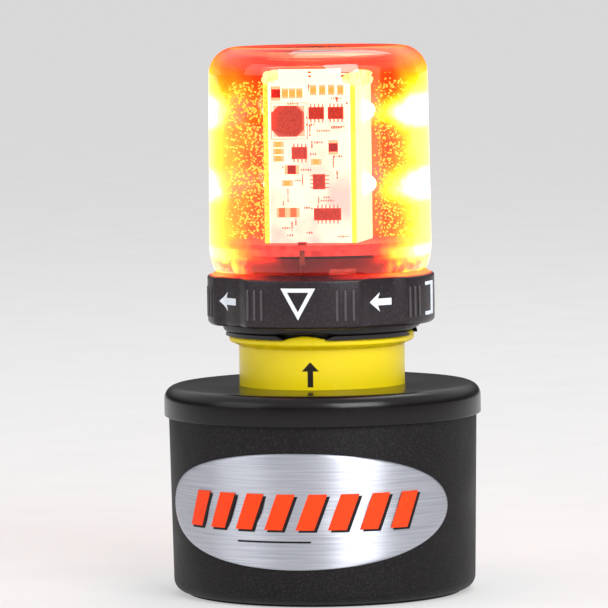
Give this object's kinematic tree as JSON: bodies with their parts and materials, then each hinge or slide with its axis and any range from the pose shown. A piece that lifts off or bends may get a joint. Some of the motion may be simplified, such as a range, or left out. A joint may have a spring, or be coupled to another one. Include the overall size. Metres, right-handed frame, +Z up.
{
  "type": "led safety flare",
  "caption": "Battery warning beacon: clear red dome over lit boards on a black mode ring, in a yellow cup that lifts out of a round weighted black magnetic stand.",
  "frame": {"origin": "centre of the stand's foot on the surface it stands on", "axes": "+Z up along the flare's axis; -Y is the front, with the badge, the cup's arrow and the driver board; +X is the part's own left seen from behind, the viewer's right from the front"},
  "size_m": [0.1036, 0.1036, 0.1782],
  "materials": {
    "housing_black": "textured",
    "lid_black": "gloss",
    "foam_black": "matte",
    "zinc_steel": "zinc plated",
    "foot_rubber": "matte",
    "pot_steel": "zinc plated",
    "ferrite": "matte",
    "ballast_iron": "cast",
    "nickel": "nickel plated",
    "brushed_badge": "brushed",
    "cup_yellow": "gloss",
    "carrier_grey": "satin",
    "cell_sleeve": "satin",
    "seal_rubber": "matte",
    "washer_white": "satin",
    "board_green": "solder mask",
    "board_white": "solder mask",
    "gold_copper": "gold plated",
    "ring_black": "satin",
    "lens_red": "clear",
    "bracket_brass": "tinned",
    "inductor_grey": "moulded ferrite",
    "chip_black": "moulded",
    "capacitor_tan": "matte",
    "capacitor_orange": "moulded",
    "resistor_black": "matte",
    "emitter_left_lower": "silicone dome, lit red",
    "emitter_left_upper": "silicone dome, lit red",
    "emitter_rear_lower": "silicone dome, lit red",
    "emitter_rear_upper": "silicone dome, lit red",
    "emitter_right_lower": "silicone dome, lit red",
    "emitter_right_upper": "silicone dome, lit red"
  },
  "bodies": {
    "stand": {"tub": "housing_black", "lid": "lid_black", "lid_gasket": "foam_black", "lid_screws": "zinc_steel", "foot_ring": "foot_rubber", "magnet_pot": "pot_steel", "ring_magnet": "ferrite", "magnet_bolt": "zinc_steel", "ballast_weight": "ballast_iron", "bolt_washer": "zinc_steel", "bolt_nut": "zinc_steel", "catch_magnet": "nickel", "badge_plate": "brushed_badge"},
    "cup": {"base_cup": "cup_yellow", "cup_keeper": "zinc_steel"},
    "carrier": {"battery_carrier": "carrier_grey", "cell_1": "cell_sleeve", "cell_2": "cell_sleeve", "cell_3": "cell_sleeve", "cell_4": "cell_sleeve", "cell_springs": "nickel", "carrier_end_cap": "carrier_grey", "cell_links": "nickel", "end_cap_screw": "zinc_steel", "cup_seal": "seal_rubber", "neck_seal": "seal_rubber", "thrust_washer": "washer_white", "retaining_clip": "zinc_steel", "slip_board": "board_green", "slip_board_screws": "zinc_steel", "inner_slip_track": "gold_copper", "outer_slip_track": "gold_copper"},
    "head": {"control_ring": "ring_black", "ring_collar": "ring_black", "switch_magnet": "nickel", "lens_gasket": "seal_rubber", "lens_screws": "zinc_steel", "lens": "lens_red", "tower_base": "board_green", "tower_screws": "zinc_steel", "board_brackets": "bracket_brass", "led_board_left": "board_white", "led_board_right": "board_white", "led_board_rear": "board_white", "driver_board": "board_white", "led_left_lower": "emitter_left_lower", "led_left_upper": "emitter_left_upper", "led_rear_lower": "emitter_rear_lower", "led_rear_upper": "emitter_rear_upper", "led_right_lower": "emitter_right_lower", "led_right_upper": "emitter_right_upper", "power_inductor": "inductor_grey", "switching_chips": "chip_black", "controller_chip": "chip_black", "ceramic_capacitors": "capacitor_tan", "tantalum_capacitors": "capacitor_orange", "sense_resistors": "resistor_black", "inner_brush": "gold_copper", "outer_brush": "gold_copper"}
  },
  "joints": [
    {"name": "flare_lift", "type": "slide", "parent": "stand", "child": "cup", "axis": [0, 0, 1], "range_m": [0, 0.03]},
    {"name": "carrier_pull", "type": "slide", "parent": "cup", "child": "carrier", "axis": [0, 0, 1], "range_m": [0, 0.035]},
    {"name": "head_turn", "type": "hinge", "parent": "carrier", "child": "head", "pos_m": [0, 0, 0.09], "axis": [0, 0, 1], "continuous": true}
  ]
}
